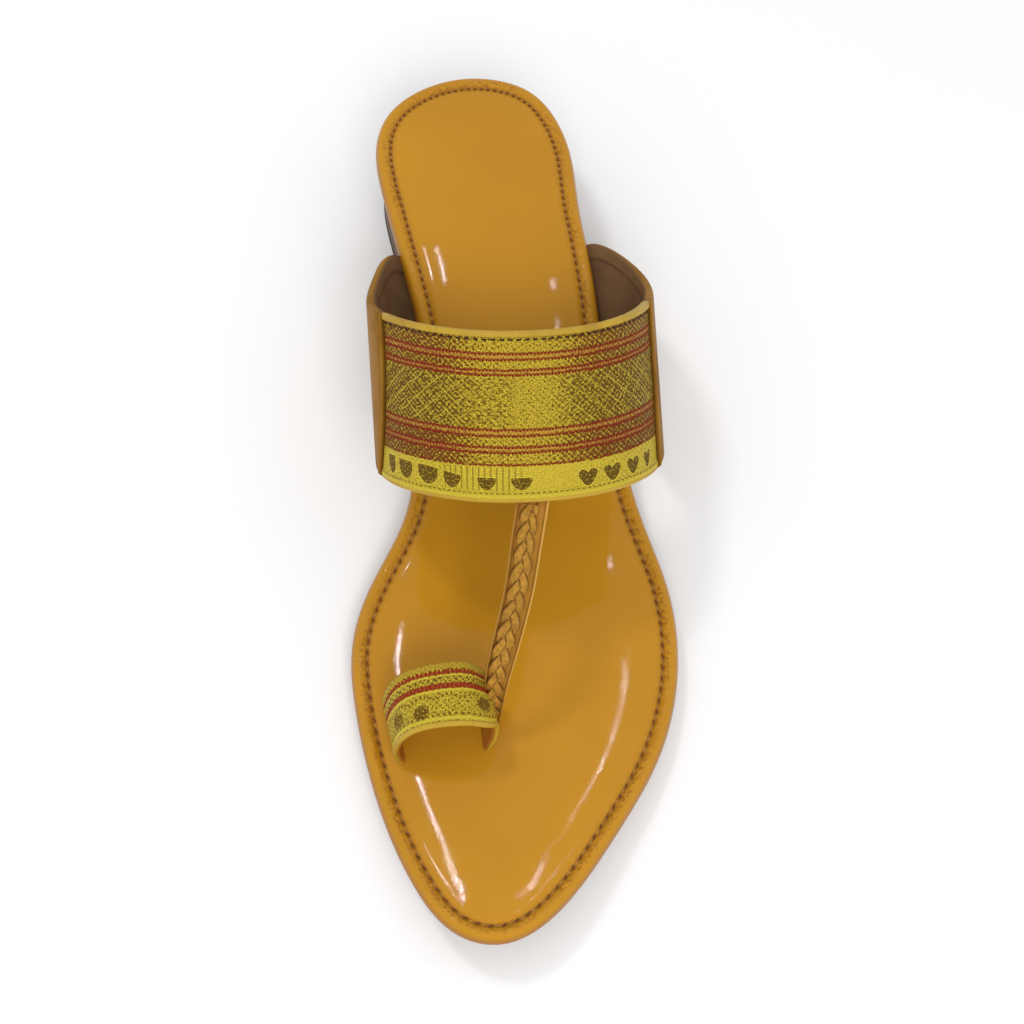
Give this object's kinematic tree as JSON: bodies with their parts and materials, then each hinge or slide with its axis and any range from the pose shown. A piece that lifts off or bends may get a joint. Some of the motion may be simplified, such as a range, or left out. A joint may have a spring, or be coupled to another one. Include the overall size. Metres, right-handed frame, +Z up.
{
  "type": "kolhapuri sandal",
  "caption": "Women's open sandal with a wide brocade band over the instep, a plaited middle strap, a loop for the big toe and a low stacked heel.",
  "frame": {"origin": "middle of the sandal's length and width, on the floor that it stands on", "axes": "+X to the outer side of the foot, +Y to the heel, +Z up"},
  "size_m": [0.0902, 0.2588, 0.0742],
  "materials": {
    "insole": "glossy patent leather over a thin foam, with a rolled and stitched edge",
    "outsole": "plain sole leather",
    "heel": "stacked leather layers",
    "top_piece": "matt rubber",
    "upper": "metallic thread brocade bound with tan leather, on a suede lining"
  },
  "bodies": {
    "root": {"insole": "insole", "outsole": "outsole", "heel": "heel", "top_piece": "top_piece", "upper": "upper"}
  },
  "joints": []
}
